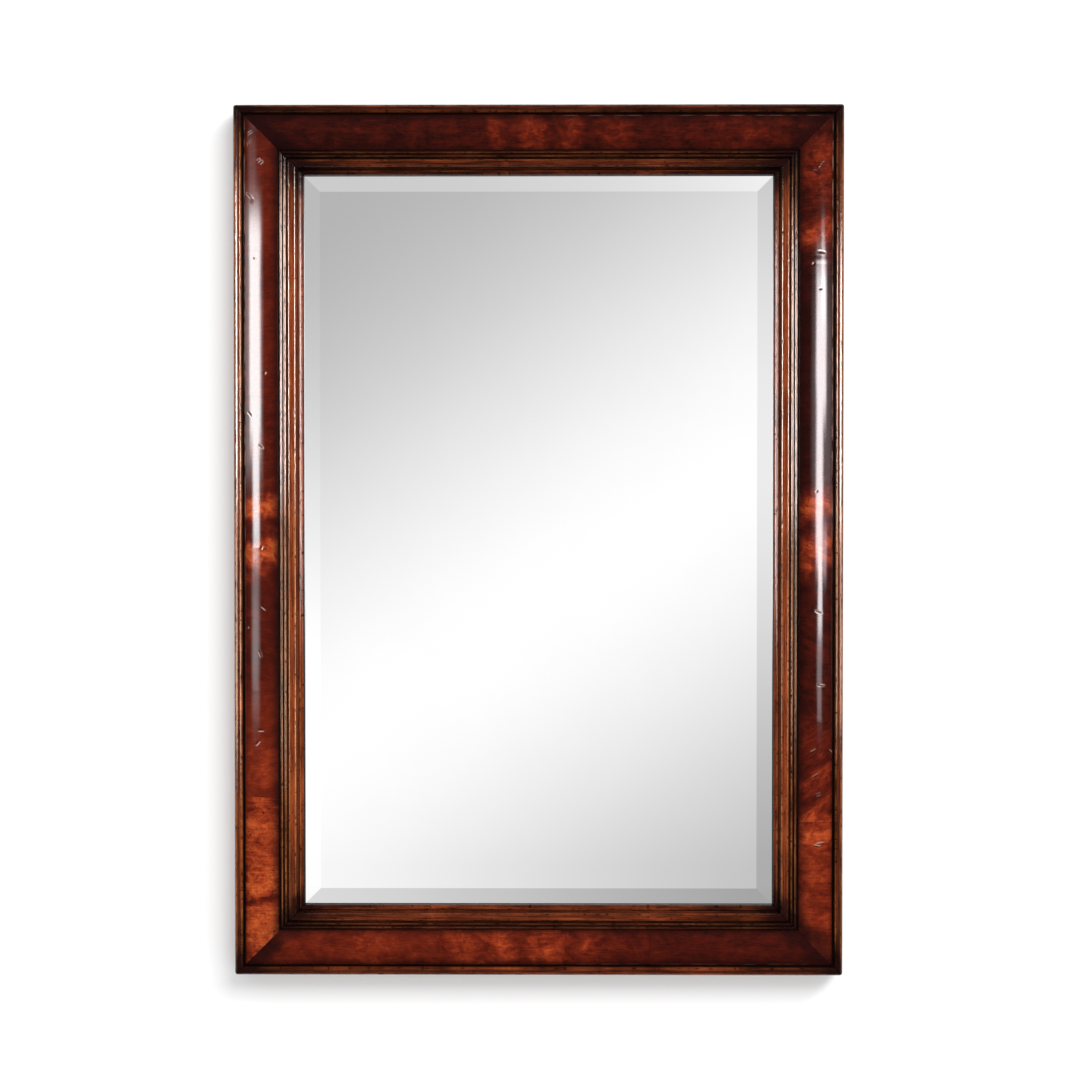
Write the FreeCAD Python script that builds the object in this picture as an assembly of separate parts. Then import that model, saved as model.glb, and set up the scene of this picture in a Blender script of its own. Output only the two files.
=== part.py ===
# Wall mirror with a cushion frame, built from its separate pieces. Sizes are in millimetres.
# X runs to the right, Z up and Y into the wall. The wall is the plane y = 0 and the front faces -Y.
# A frame section is drawn as d, the distance in from the frame's outer edge, and h, the height
# above the frame's back.
import FreeCAD
import Part
import collections
import math
import os

from FreeCAD import Vector

# Overall sizes of the frame
FRAME_WIDTH = 762.0
FRAME_HEIGHT = 1089.0

# Widths of the frame's members, in order from the outer edge to the sight edge
OUTER_BEAD_WIDTH = 10.6
OUTER_QUIRK_WIDTH = 2.4
CUSHION_WIDTH = 43.5
INNER_QUIRK_WIDTH = 1.0
REED_WIDTH = 3.6
REED_GAP = 0.8
BAND_QUIRK_WIDTH = 2.0
BAND_WIDTH = 9.8
SLIP_QUIRK_WIDTH = 2.2
SLIP_BEAD_WIDTH = 6.9

# Thicknesses of what lies behind the sight edge, from the frame's back to the front
BACKBOARD_INSET = 1.0
BACKBOARD_THICKNESS = 5.0
FELT_THICKNESS = 2.0
PLATE_THICKNESS = 5.0
PLATE_EDGE_THICKNESS = 2.5
SLIP_TONGUE_THICKNESS = 5.0

# Forms of the members
CUSHION_SHOULDER = 15.0
CUSHION_RISE = 8.0
VENEER_THICKNESS = 1.0
GLUE_LINE = 0.1
OUTER_BEAD_STEP = 3.0
OUTER_BEAD_RISE = 4.6
OUTER_QUIRK_DEPTH = 2.5
INNER_QUIRK_DEPTH = 1.6
REED_STEP = 0.9
BAND_DROP = 3.0
BAND_QUIRK_DEPTH = 3.2
BAND_ARRIS = 1.8
SLIP_QUIRK_RISE = 1.2
SLIP_CREST_RISE = 2.2
SLIP_CREST_RADIUS = 1.8
SLIP_THUMB_DROP = 4.6

# Glass, rebates and backboard
BEVEL_WIDTH = 25.4
PLATE_OVERLAP = 5.2
PLATE_CLEARANCE = 2.5
SEAT_CLEARANCE = 0.1
SLIP_TONGUE_WIDTH = 8.0
BACKBOARD_LAP = 20.0
BACKBOARD_CLEARANCE = 1.0
BLOCK_LENGTH = 30.0

# Loose tongues in the mitres
SPLINE_LENGTH = 42.0
SPLINE_WIDTH = 24.0
SPLINE_THICKNESS = 4.0
SPLINE_HEIGHT = 16.0
SPLINE_CLEARANCE = 0.1

# Screws: a driven screw stands in a hole a little wider and deeper than itself
SCREW_DIAMETER = 3.5
SCREW_HEAD_DIAMETER = 7.0
SCREW_BITE = 9.0
SCREW_PITCH = 210.0
SCREW_END_SPACE = 70.0
HANGER_SCREW_BITE = 14.0
HOLE_CLEARANCE = 0.1
HOLE_EXTRA_DEPTH = 0.5

# Hangers and wall pads
HANGER_DROP = 220.0
STRAP_WIDTH = 18.0
STRAP_THICKNESS = 1.5
STRAP_LENGTH = 46.0
STRAP_HOLE_PITCH = 20.0
STRAP_HOLE_END = 10.0
RING_WIRE = 4.0
RING_SIDE_PLAY = 2.0
RING_CORNER_RADIUS = 4.5
RING_CORNER_TURN = 100.0
RING_CLEARANCE = 0.08
RING_REST_GAP = 0.3
HANGER_TO_WALL = 0.8
PAD_DIAMETER = 20.0
PAD_TAPER = 1.5
PAD_ARRIS = 1.0

# Where one veneer leaf meets the next: x on the top and bottom, z on the left and right
LEAF_JOINTS = {
    "bottom": (-124.0, 33.0, 139.0),
    "left": (362.0, 181.0, -8.0, -187.0, -320.0),
    "top": (-136.0, 2.0, 152.0),
    "right": (350.0, 75.0, -224.0, -351.0),
}

# Distances in from the outer edge
cushion_outer = OUTER_BEAD_WIDTH + OUTER_QUIRK_WIDTH
cushion_inner = cushion_outer + CUSHION_WIDTH
reed_outer = cushion_inner + INNER_QUIRK_WIDTH
second_reed = reed_outer + REED_WIDTH + REED_GAP
band_outer = second_reed + REED_WIDTH + BAND_QUIRK_WIDTH
band_inner = band_outer + BAND_WIDTH
slip_outer = band_inner + SLIP_QUIRK_WIDTH
face_width = slip_outer + SLIP_BEAD_WIDTH
plate_edge = face_width - PLATE_OVERLAP
ground_inner = plate_edge - PLATE_CLEARANCE
tongue_outer = ground_inner - SLIP_TONGUE_WIDTH
backboard_edge = ground_inner - BACKBOARD_LAP
recess_edge = backboard_edge - BACKBOARD_CLEARANCE
back_middle = (OUTER_BEAD_WIDTH + recess_edge) / 2

# Heights above the frame's back
recess_floor = BACKBOARD_INSET + BACKBOARD_THICKNESS
plate_back = recess_floor + FELT_THICKNESS
plate_front = plate_back + PLATE_THICKNESS
bevel_depth = PLATE_THICKNESS - PLATE_EDGE_THICKNESS
lip = plate_front - bevel_depth * (1 - PLATE_OVERLAP / BEVEL_WIDTH) + SEAT_CLEARANCE
platform = lip + SLIP_TONGUE_THICKNESS
cushion_edge = platform + CUSHION_SHOULDER
crest = cushion_edge + CUSHION_RISE

# The cushion is part of a cylinder
cushion_half = CUSHION_WIDTH / 2
cushion_middle = cushion_outer + cushion_half
cushion_radius = (cushion_half ** 2 + CUSHION_RISE ** 2) / (2 * CUSHION_RISE)
cushion_axis = crest - cushion_radius

# Hanger sizes that follow from the ring's wire
wire_radius = RING_WIRE / 2
bore_radius = wire_radius + RING_CLEARANCE
knuckle_radius = bore_radius + STRAP_THICKNESS
wall_gap = 2 * knuckle_radius + HANGER_TO_WALL
hanger_x = FRAME_WIDTH / 2 - back_middle
hanger_z = FRAME_HEIGHT / 2 - HANGER_DROP
back_y = -wall_gap

# Each side: its turn about Y from the bottom side, its length, how far its outer edge lies from
# the middle, and whether the world axis along it runs the same way as the turned X axis
Side = collections.namedtuple("Side", "name turn length reach along")
SIDES = (
    Side("bottom", 0, FRAME_WIDTH, FRAME_HEIGHT / 2, 1),
    Side("left", 90, FRAME_HEIGHT, FRAME_WIDTH / 2, -1),
    Side("top", 180, FRAME_WIDTH, FRAME_HEIGHT / 2, -1),
    Side("right", 270, FRAME_HEIGHT, FRAME_WIDTH / 2, 1),
)

# A curved step in a section's outline: an arc through mid to end
Bow = collections.namedtuple("Bow", "mid end")


def at(d, h, along=0.0):
    """Point of a side before it is placed: the side lies along X with its outer edge at z = 0."""
    return Vector(along, back_y - h, d)


def section(outline):
    """Face of a frame member's cross-section. Each step is a point or a Bow."""
    edges = []
    start = at(*outline[0])
    here = start
    for step in outline[1:]:
        end = at(*(step.end if isinstance(step, Bow) else step))
        if isinstance(step, Bow):
            edges.append(Part.Arc(here, at(*step.mid), end).toShape())
        else:
            edges.append(Part.makeLine(here, end))
        here = end
    edges.append(Part.makeLine(here, start))
    return Part.Face(Part.Wire(edges))


def cushion_bow(sink):
    """The cushion's arc, sunk below its face: its outer end and the Bow to its inner end."""
    radius = cushion_radius - sink
    edge = cushion_axis + math.sqrt(radius ** 2 - cushion_half ** 2)
    return (cushion_outer, edge), Bow((cushion_middle, cushion_axis + radius), (cushion_inner, edge))


def eased(corner, radius, before, after):
    """A square corner rounded off: where the curve starts and its Bow. before and after are unit steps."""
    start = (corner[0] - before[0] * radius, corner[1] - before[1] * radius)
    end = (corner[0] + after[0] * radius, corner[1] + after[1] * radius)
    inset = radius * (1 - math.sqrt(0.5))
    mid = (
        corner[0] + (after[0] - before[0]) * inset,
        corner[1] + (after[1] - before[1]) * inset,
    )
    return [start, Bow(mid, end)]


def outer_bead_section():
    spring = cushion_edge + OUTER_BEAD_STEP - OUTER_BEAD_RISE
    bead_crest = (OUTER_BEAD_WIDTH / 2, spring + OUTER_BEAD_RISE)
    return section([(OUTER_BEAD_WIDTH, 0), (0, 0), (0, spring), Bow(bead_crest, (OUTER_BEAD_WIDTH, spring))])


def ground_section():
    arc_start, arc = cushion_bow(VENEER_THICKNESS + GLUE_LINE)
    quirk_floor = cushion_edge - OUTER_QUIRK_DEPTH
    return section([
        (OUTER_BEAD_WIDTH, 0),
        (OUTER_BEAD_WIDTH, quirk_floor),
        (cushion_outer, quirk_floor),
        arc_start,
        arc,
        (cushion_inner, platform),
        (tongue_outer, platform),
        (tongue_outer, lip),
        (ground_inner, lip),
        (ground_inner, recess_floor),
        (recess_edge, recess_floor),
        (recess_edge, 0),
    ])


def veneer_section():
    face_start, face_arc = cushion_bow(0)
    back_start, back_arc = cushion_bow(VENEER_THICKNESS)
    return section([face_start, face_arc, back_arc.end, Bow(back_arc.mid, back_start)])


def reed(outer, base):
    """A half-round reed, from its outer to its inner side."""
    middle = (outer + REED_WIDTH / 2, base + REED_WIDTH / 2)
    return [(outer, base), Bow(middle, (outer + REED_WIDTH, base))]


def inner_moulding_section():
    reed_base = cushion_edge - INNER_QUIRK_DEPTH
    second_base = reed_base - REED_STEP
    band_top = cushion_edge - BAND_DROP
    quirk_floor = band_top - BAND_QUIRK_DEPTH
    slip_quirk_floor = platform + SLIP_QUIRK_RISE
    outline = [(cushion_inner, platform), (cushion_inner, reed_base)]
    outline += reed(reed_outer, reed_base)
    outline += [(second_reed - REED_GAP, second_base)]
    outline += reed(second_reed, second_base)
    outline += [(second_reed + REED_WIDTH, quirk_floor), (band_outer, quirk_floor)]
    outline += eased((band_outer, band_top), BAND_ARRIS, (0, 1), (1, 0))
    outline += eased((band_inner, band_top), BAND_ARRIS, (1, 0), (0, -1))
    outline += [(band_inner, slip_quirk_floor), (slip_outer, slip_quirk_floor), (slip_outer, platform)]
    return section(outline)


def slip_section():
    slip_crest = platform + SLIP_CREST_RISE
    corner = (slip_outer, slip_crest)
    crest_d = slip_outer + SLIP_CREST_RADIUS
    run = face_width - crest_d
    radius = (run ** 2 + SLIP_THUMB_DROP ** 2) / (2 * SLIP_THUMB_DROP)
    half_turn = math.asin(run / radius) / 2
    thumb_mid = (crest_d + radius * math.sin(half_turn), slip_crest - radius * (1 - math.cos(half_turn)))
    thumb = Bow(thumb_mid, (face_width, slip_crest - SLIP_THUMB_DROP))
    outline = [(tongue_outer, lip), (tongue_outer, platform), (slip_outer, platform)]
    outline += eased(corner, SLIP_CREST_RADIUS, (0, 1), (1, 0))
    outline += [thumb, (face_width, lip)]
    return section(outline)


def mitre_wedge(length):
    """The space between a side's two mitre planes, a little longer and wider than the side."""
    spare = 1.0
    half = length / 2
    inner = face_width + spare
    outline = [
        at(-spare, -spare, -half - spare),
        at(-spare, -spare, half + spare),
        at(inner, -spare, half - inner),
        at(inner, -spare, -half + inner),
    ]
    face = Part.Face(Part.makePolygon(outline + outline[:1]))
    return face.extrude(Vector(0, -(crest + OUTER_BEAD_STEP + 2 * spare), 0))


def length_of(face, start, end):
    """A length of a section from one place along its side to another, before mitring."""
    moved = face.copy()
    moved.translate(Vector(start, 0, 0))
    return moved.extrude(Vector(end - start, 0, 0))


def placed(shape, side):
    """Move a side's shape from the drawing place to its own side of the frame."""
    shape = shape.copy()
    shape.translate(Vector(0, 0, -side.reach))
    shape.rotate(Vector(0, 0, 0), Vector(0, 1, 0), side.turn)
    return shape


def mitred_side(face, side):
    bar = length_of(face, -side.length / 2, side.length / 2)
    return placed(bar.common(mitre_wedge(side.length)), side)


def veneer_leaves(side):
    """The veneer of one side, a solid for each leaf."""
    face = veneer_section()
    wedge = mitre_wedge(side.length)
    half = side.length / 2
    stops = sorted([-half, half] + [side.along * joint for joint in LEAF_JOINTS[side.name]])
    leaves = [length_of(face, start, end).common(wedge) for start, end in zip(stops, stops[1:])]
    return Part.makeCompound([placed(leaf, side) for leaf in leaves])


def corners():
    """Name and signs of x and z of each corner."""
    for row, z_sign in (("top", 1), ("bottom", -1)):
        for column, x_sign in (("left", -1), ("right", 1)):
            yield row + "_" + column, x_sign, z_sign


def spline(x_sign, z_sign, clearance):
    """A loose tongue across a mitre, made larger by the clearance to cut its slot."""
    length = SPLINE_LENGTH + 2 * clearance
    width = SPLINE_WIDTH + 2 * clearance
    thickness = SPLINE_THICKNESS + 2 * clearance
    tongue = Part.makeBox(length, thickness, width, Vector(-length / 2, -thickness / 2, -width / 2))
    tongue.rotate(Vector(0, 0, 0), Vector(0, 1, 0), -45 * x_sign * z_sign)
    tongue.translate(Vector(
        x_sign * (FRAME_WIDTH / 2 - back_middle),
        back_y - SPLINE_HEIGHT,
        z_sign * (FRAME_HEIGHT / 2 - back_middle),
    ))
    return tongue


def screw(place, head_height, bite, clearance=0.0, extra=0.0):
    """A countersunk wood screw driven towards -Y with its head flush at place."""
    head = SCREW_HEAD_DIAMETER / 2 + clearance
    shank = SCREW_DIAMETER / 2 + clearance
    cone = head - shank
    end = head_height + bite + extra
    profile = [(0, 0), (head, 0), (shank, cone), (shank, end - shank), (0, end)]
    points = [Vector(radius, -depth, 0) for radius, depth in profile]
    face = Part.Face(Part.makePolygon(points + points[:1]))
    solid = face.revolve(Vector(0, 0, 0), Vector(0, 1, 0), 360)
    solid.translate(place)
    return solid


def screw_hole(place, head_height, bite):
    return screw(place, head_height, bite, HOLE_CLEARANCE, HOLE_EXTRA_DEPTH)


def spread(length):
    """Screw places along a side of the backboard, at about one pitch from each other."""
    reach = length / 2 - SCREW_END_SPACE
    gaps = max(1, round(2 * reach / SCREW_PITCH))
    return [-reach + 2 * reach * step / gaps for step in range(gaps + 1)]


def backboard_screw_places():
    """Places on the backboard's rear face, over the ground between its recess and the slip's tongue."""
    inset = (backboard_edge + tongue_outer) / 2
    y = back_y - BACKBOARD_INSET
    x = FRAME_WIDTH / 2 - inset
    z = FRAME_HEIGHT / 2 - inset
    places = [Vector(along, y, sign * z) for sign in (-1, 1) for along in spread(2 * x)]
    places += [Vector(sign * x, y, along) for sign in (-1, 1) for along in spread(2 * z)]
    return places


def hanger_screw_places(sign):
    top_hole = hanger_z - STRAP_LENGTH + STRAP_HOLE_END + STRAP_HOLE_PITCH
    y = back_y + 2 * STRAP_THICKNESS
    return [Vector(sign * hanger_x, y, top_hole - STRAP_HOLE_PITCH * step) for step in range(2)]


def slab(inset, low, high):
    """A flat rectangular sheet whose edges lie inset from the frame's outer edges."""
    width = FRAME_WIDTH - 2 * inset
    height = FRAME_HEIGHT - 2 * inset
    return Part.makeBox(width, high - low, height, Vector(-width / 2, back_y - high, -height / 2))


def rectangle(inset, h):
    """Wire round the frame at a distance in from its outer edges."""
    x = FRAME_WIDTH / 2 - inset
    z = FRAME_HEIGHT / 2 - inset
    y = back_y - h
    points = [Vector(-x, y, -z), Vector(x, y, -z), Vector(x, y, z), Vector(-x, y, z)]
    return Part.makePolygon(points + points[:1])


def mirror_plate():
    """A sheet of glass with its front edge bevelled all round."""
    return Part.makeLoft([
        rectangle(plate_edge, plate_back),
        rectangle(plate_edge, plate_back + PLATE_EDGE_THICKNESS),
        rectangle(plate_edge + BEVEL_WIDTH, plate_front),
    ], True, True)


def setting_blocks():
    """Two blocks a side that fill the space between the glass's edge and the rebate."""
    blocks = []
    for side in SIDES:
        for along in (-side.length / 4, side.length / 4):
            corner = Vector(along - BLOCK_LENGTH / 2, back_y - plate_back - PLATE_EDGE_THICKNESS, ground_inner)
            block = Part.makeBox(BLOCK_LENGTH, PLATE_EDGE_THICKNESS, PLATE_CLEARANCE, corner)
            blocks.append(placed(block, side))
    return Part.makeCompound(blocks)


def backboard():
    board = slab(backboard_edge, BACKBOARD_INSET, recess_floor)
    holes = [screw_hole(place, BACKBOARD_THICKNESS, SCREW_BITE) for place in backboard_screw_places()]
    return board.cut(Part.makeCompound(holes))


def ground(side):
    """One side of the frame's body, slotted for the loose tongues and drilled for the screws."""
    tools = [spline(x_sign, z_sign, SPLINE_CLEARANCE) for _, x_sign, z_sign in corners()]
    tools += [screw_hole(place, BACKBOARD_THICKNESS, SCREW_BITE) for place in backboard_screw_places()]
    for sign in (-1, 1):
        tools += [
            screw_hole(place, 2 * STRAP_THICKNESS, HANGER_SCREW_BITE) for place in hanger_screw_places(sign)
        ]
    return mitred_side(ground_section(), side).cut(Part.makeCompound(tools))


def hanger_strap(sign):
    """A strip of steel folded round the ring's bar, both its ends screwed to the frame."""
    half = STRAP_WIDTH / 2
    axis_y = back_y + knuckle_radius
    x = sign * hanger_x
    round_end = hanger_z - STRAP_LENGTH + half
    ends = [Vector(x - half, back_y, hanger_z), Vector(x - half, back_y, round_end)]
    ends += [Vector(x + half, back_y, round_end), Vector(x + half, back_y, hanger_z)]
    outline = [
        Part.makeLine(ends[0], ends[1]),
        Part.Arc(ends[1], Vector(x, back_y, round_end - half), ends[2]).toShape(),
        Part.makeLine(ends[2], ends[3]),
        Part.makeLine(ends[3], ends[0]),
    ]
    tail = Part.Face(Part.Wire(outline)).extrude(Vector(0, 2 * STRAP_THICKNESS, 0))
    end = Vector(x - half, axis_y, hanger_z)
    knuckle = Part.makeCylinder(knuckle_radius, STRAP_WIDTH, end, Vector(1, 0, 0))
    bore = Part.makeCylinder(bore_radius, STRAP_WIDTH, end, Vector(1, 0, 0))
    holes = [screw_hole(place, 2 * STRAP_THICKNESS, HANGER_SCREW_BITE) for place in hanger_screw_places(sign)]
    return tail.fuse(knuckle).cut(Part.makeCompound([bore] + holes)).removeSplitter()


def ring_path():
    """Middle line of the ring's wire: a straight bar, two tight corners and a wide bow above them."""
    bar = STRAP_WIDTH / 2 + RING_SIDE_PLAY
    turn = math.radians(RING_CORNER_TURN)
    bow_radius = bar / math.sin(turn) + RING_CORNER_RADIUS
    bow_middle = RING_CORNER_RADIUS + bar / math.tan(turn)

    def on_corner(angle):
        return (
            bar + RING_CORNER_RADIUS * math.sin(angle),
            RING_CORNER_RADIUS * (1 - math.cos(angle)),
        )

    def point(x, z):
        return Vector(x, 0, z)

    start = (bar, 0)
    middle = on_corner(turn / 2)
    end = on_corner(turn)
    top = bow_middle + bow_radius
    path = Part.Wire([
        Part.makeLine(point(-bar, 0), point(bar, 0)),
        Part.Arc(point(*start), point(*middle), point(*end)).toShape(),
        Part.Arc(point(*end), point(0, top), point(-end[0], end[1])).toShape(),
        Part.Arc(point(-end[0], end[1]), point(-middle[0], middle[1]), point(-bar, 0)).toShape(),
    ])
    return path, top


def d_ring(sign):
    """The ring, raised and leaning back on the frame as it is before a hook takes it."""
    path, top = ring_path()
    wire = Part.Wire(Part.makeCircle(wire_radius, Vector(0, 0, 0), Vector(1, 0, 0)))
    ring = path.makePipeShell([wire], True, False)
    lean = math.degrees(math.asin((knuckle_radius - wire_radius - RING_REST_GAP) / top))
    ring.rotate(Vector(0, 0, 0), Vector(1, 0, 0), lean)
    ring.translate(Vector(sign * hanger_x, back_y + knuckle_radius, hanger_z))
    return ring


def wall_pad(x_sign, z_sign):
    """A tapered rubber pad between the frame's back and the wall."""
    base = PAD_DIAMETER / 2
    profile = [(0, 0), (base, 0), (base - PAD_TAPER, wall_gap - PAD_ARRIS)]
    profile += [(base - PAD_TAPER - PAD_ARRIS, wall_gap), (0, wall_gap)]
    points = [Vector(radius, height, 0) for radius, height in profile]
    pad = Part.Face(Part.makePolygon(points + points[:1])).revolve(Vector(0, 0, 0), Vector(0, 1, 0), 360)
    x = x_sign * (FRAME_WIDTH / 2 - back_middle)
    z = z_sign * (FRAME_HEIGHT / 2 - back_middle)
    pad.translate(Vector(x, back_y, z))
    return pad


def save(node, shape):
    shape.exportStep("parts/" + node + ".step")


def save_frame():
    for side in SIDES:
        save("outer_bead_" + side.name, mitred_side(outer_bead_section(), side))
        save("cushion_ground_" + side.name, ground(side))
        save("cushion_veneer_" + side.name, veneer_leaves(side))
        save("inner_moulding_" + side.name, mitred_side(inner_moulding_section(), side))
        save("sight_slip_" + side.name, mitred_side(slip_section(), side))
    for corner, x_sign, z_sign in corners():
        save("mitre_spline_" + corner, spline(x_sign, z_sign, 0.0))
        save("wall_pad_" + corner, wall_pad(x_sign, z_sign))


def save_glass_and_back():
    save("mirror_plate", mirror_plate())
    save("setting_blocks", setting_blocks())
    save("backing_felt", slab(plate_edge, recess_floor, plate_back))
    save("backboard", backboard())
    screws = [screw(place, BACKBOARD_THICKNESS, SCREW_BITE) for place in backboard_screw_places()]
    save("backboard_screws", Part.makeCompound(screws))


def save_hangers():
    screws = []
    for name, sign in (("left", -1), ("right", 1)):
        save("hanger_strap_" + name, hanger_strap(sign))
        save("d_ring_" + name, d_ring(sign))
        screws += [screw(place, 2 * STRAP_THICKNESS, HANGER_SCREW_BITE) for place in hanger_screw_places(sign)]
    save("hanger_screws", Part.makeCompound(screws))


os.makedirs("parts", exist_ok=True)
save_frame()
save_glass_and_back()
save_hangers()
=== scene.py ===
# Looks of the cushion mirror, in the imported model's own frame: X to the right, Y into the wall, Z up.
# The sides of the frame are worked out in millimetres: the place along a side from its middle, d, the
# distance in from the frame's outer edge, and h, the height above its back. The studio is in metres.
import collections
import functools
import math

import bpy
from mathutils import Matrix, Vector, noise


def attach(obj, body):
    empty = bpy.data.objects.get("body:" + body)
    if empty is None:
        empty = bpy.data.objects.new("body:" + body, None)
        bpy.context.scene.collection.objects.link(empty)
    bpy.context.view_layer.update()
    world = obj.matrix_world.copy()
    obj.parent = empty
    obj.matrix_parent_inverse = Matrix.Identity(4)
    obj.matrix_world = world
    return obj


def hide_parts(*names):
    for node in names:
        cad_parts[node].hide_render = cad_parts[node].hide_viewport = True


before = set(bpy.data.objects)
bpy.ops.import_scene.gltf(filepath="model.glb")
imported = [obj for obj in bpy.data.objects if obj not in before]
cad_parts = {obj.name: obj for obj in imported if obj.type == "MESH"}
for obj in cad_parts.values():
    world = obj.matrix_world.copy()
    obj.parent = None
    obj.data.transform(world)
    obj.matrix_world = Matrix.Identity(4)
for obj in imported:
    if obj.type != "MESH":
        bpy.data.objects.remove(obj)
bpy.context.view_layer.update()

MM = 0.001


def by_side(left, right, top, bottom):
    return {"left": left, "right": right, "top": top, "bottom": bottom}


# Frame sizes, repeated from the part's source, in millimetres
FRAME_WIDTH = 762.0
FRAME_HEIGHT = 1089.0
WALL_GAP = 7.96
LIP = 11.11
PLATFORM = LIP + 5.0
CUSHION_OUTER = 13.0
CUSHION_INNER = 56.5
CUSHION_EDGE = PLATFORM + 15.0
CUSHION_RISE = 8.0
VENEER = 1.0
QUIRK_FLOOR = CUSHION_EDGE - 2.5
BEAD_WIDTH = 10.6
BEAD_RISE = 4.6
BEAD_SPRING = CUSHION_EDGE - 1.6
REED_RADIUS = 1.8
REEDS = ((59.3, CUSHION_EDGE - 1.6), (63.7, CUSHION_EDGE - 2.5))
BAND_OUTER = 67.5
BAND_INNER = 77.3
BAND_TOP = CUSHION_EDGE - 3.0
BAND_ARRIS = 1.8
BAND_QUIRK = BAND_TOP - 3.2
SLIP_QUIRK = PLATFORM + 1.2
SLIP_OUTER = 79.5
SLIP_CREST = PLATFORM + 2.2
SLIP_CREST_RADIUS = 1.8
SLIP_THUMB_DROP = 4.6
FACE_WIDTH = 86.4
SIGHT_EDGE = 85.5
TONGUE_OUTER = 70.7
CUSHION_MIDDLE = (CUSHION_OUTER + CUSHION_INNER) / 2

# How far the frame's outer corners are rounded by wear
CORNER_RADIUS = 3.6

# Grooves that hold dark wax and ridges that hands and dusters wear bright, as d, and how far to each side
# of them the wax and the wear reach
GROOVES = (11.8, 57.0, 61.5, 66.5, 78.4)
GROOVE_REACH = 1.0
RIDGES = (2.2, 9.2, 60.0, 64.4, 68.6, 76.2, 81.2)
RIDGE_REACH = 0.7

# A fine dark line along the crown of the outer bead: its d, how dark it is and how far it reaches
BEAD_LINE = 5.6
LINE_WAX = (0.75, 0.8)

# How bright the wood of each side's mouldings is under its wax, from 0 to 1, and how much of that is lost
# at the mitres, over how many millimetres
BEAD_TONE = by_side(0.63, 0.58, 0.43, 0.54)
REED_TONE = by_side(0.53, 0.49, 0.32, 0.36)
BAND_TONE = by_side(0.74, 0.70, 0.46, 0.57)
SLIP_TONE = by_side(0.69, 0.65, 0.46, 0.57)
END_DROP = (0.22, 70.0)

# How much old wax is left in the grooves of each side, and how dark old wax and painted shade make the
# cushion along its outer and inner edges, and how many millimetres that reaches
WAXING = by_side(1.0, 1.0, 0.5, 0.5)
OUTER_SHADE = by_side((0.7, 3.5), (0.7, 4.0), (0.85, 9.0), (0.8, 7.5))
INNER_SHADE = by_side((0.9, 8.5), (0.8, 8.0), (0.3, 6.0), (0.6, 6.0))

# How much the ridges of each side are rubbed through to paler wood, which also scales the painted highlight
# on the cushion's outer rim
RUBBING = by_side(1.0, 0.8, 0.2, 0.16)

# Unevenness: the size of its waves along a side and across it, in millimetres, and a number that sets the
# pattern apart from the others of the same side
Waves = collections.namedtuple("Waves", "along across seed")
LONG_WAVES = Waves(38.0, 9.0, 0.0)
SHORT_WAVES = Waves(11.0, 5.0, 2.0)
NICKS = Waves(4.2, 3.0, 5.0)
CORNER_RAGS = Waves(12.0, 6.0, 8.0)
LEAF_WAVES = Waves(60.0, 15.0, 0.0)
LEAF_DRIFT = Waves(20.0, 9.0, 9.0)
FLAME_RAGS = Waves(14.0, 7.0, 0.0)
WAX_AND_SHADE_RAGS = Waves(16.0, 9.0, 4.0)
RIM_PATCHES = Waves(16.0, 9.0, 6.0)

# Wear of the solid mouldings, with depths, heights and reaches in millimetres. Below one height nothing is
# worn, and above another the ridges are rubbed. NICK_SPARED is how much of the nicks' pattern makes none,
# and a pair is the depth of a dip and how far it reaches.
UNWORN_BELOW = PLATFORM - 4.0
RUBBED_ABOVE = 12.0
WEAR_FADE = 6.0
WAVE_DEPTH = 0.05
NICK_DEPTH = 1.8
NICK_SPARED = 0.26
NICK_WAX = 8.0
MITRE_DIP = (0.25, 0.7)
MITRE_WAX_REACH = 1.2
SIGHT_SOFTNESS = 0.4
# How dark old wax and painted shade make the mouldings towards the mitres, and how ragged that is
CORNER_SHADE = 0.9
CORNER_RAGGED = 0.3

# Wear of the cushion, in the same way: its waves, its eased edges, and the joints between its leaves
LEAF_WAVE_DEPTH = 0.14
LEAF_FADE = 5.0
EDGE_ROUNDING = (0.5, 0.8)
JOINT_DEPTH = 0.03
JOINT_REACH = 0.5
JOINT_LEAN = 0.04
CLEAR_SEAM = 0.5
FAINT_SEAM = 0.12
DRIFT = 8.0
FLAME_RAGGED = 0.5
WAX_AND_SHADE_RAGGED = 0.35
OUTER_WAX_REACH = 0.6
INNER_WAX_REACH = 1.3
LEAF_SHIFT = 3.7

# A painted highlight lies along the cushion's outer rim, in patches, on the upper half of each upright and
# faintly
# on the right half of each rail: how bright, how far in and how broadly, the patches' contrast, and where it
# fades
RIM_HIGHLIGHT = 0.6
RIM_PLACE = 1.0
RIM_REACH = 0.6
RIM_CONTRAST = 1.6
RIM_HALF_FADE = 60.0
RIM_END_FADE = 30.0

# Stations along a side: the fewest of them, how many lie to each side of a tick and how far past it, how
# close two may come, their distance on the veneer, and how far from the ends of a length the first ones lie
FEWEST_STATIONS = 4
TICK_STATIONS = 6
TICK_MARGIN = 1.5
CLOSEST = 0.4
LEAF_STEP = 3.5
LEAF_ENDS = (0.5, 1.2)
MOULDING_ENDS = (1.2, 2.0, 3.0)

# Slack in comparing places, in millimetres, and the turn from which an edge is shaded sharp
SLACK = 0.1
HAIR = 0.01
SHARP_ANGLE = math.radians(50)

# The four sides: turn about Y from the bottom side in degrees, length, distance of the outer edge from the
# middle, whether the world's axis runs the same way along it, and a seed for its unevenness
RAILS = ("top", "bottom")
Side = collections.namedtuple("Side", "name turn length reach along seed")
SIDES = (
    Side("bottom", 0, FRAME_WIDTH, FRAME_HEIGHT / 2, 1, 3.0),
    Side("left", 90, FRAME_HEIGHT, FRAME_WIDTH / 2, -1, 17.0),
    Side("top", 180, FRAME_WIDTH, FRAME_HEIGHT / 2, -1, 31.0),
    Side("right", 270, FRAME_HEIGHT, FRAME_WIDTH / 2, 1, 47.0),
)

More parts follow.
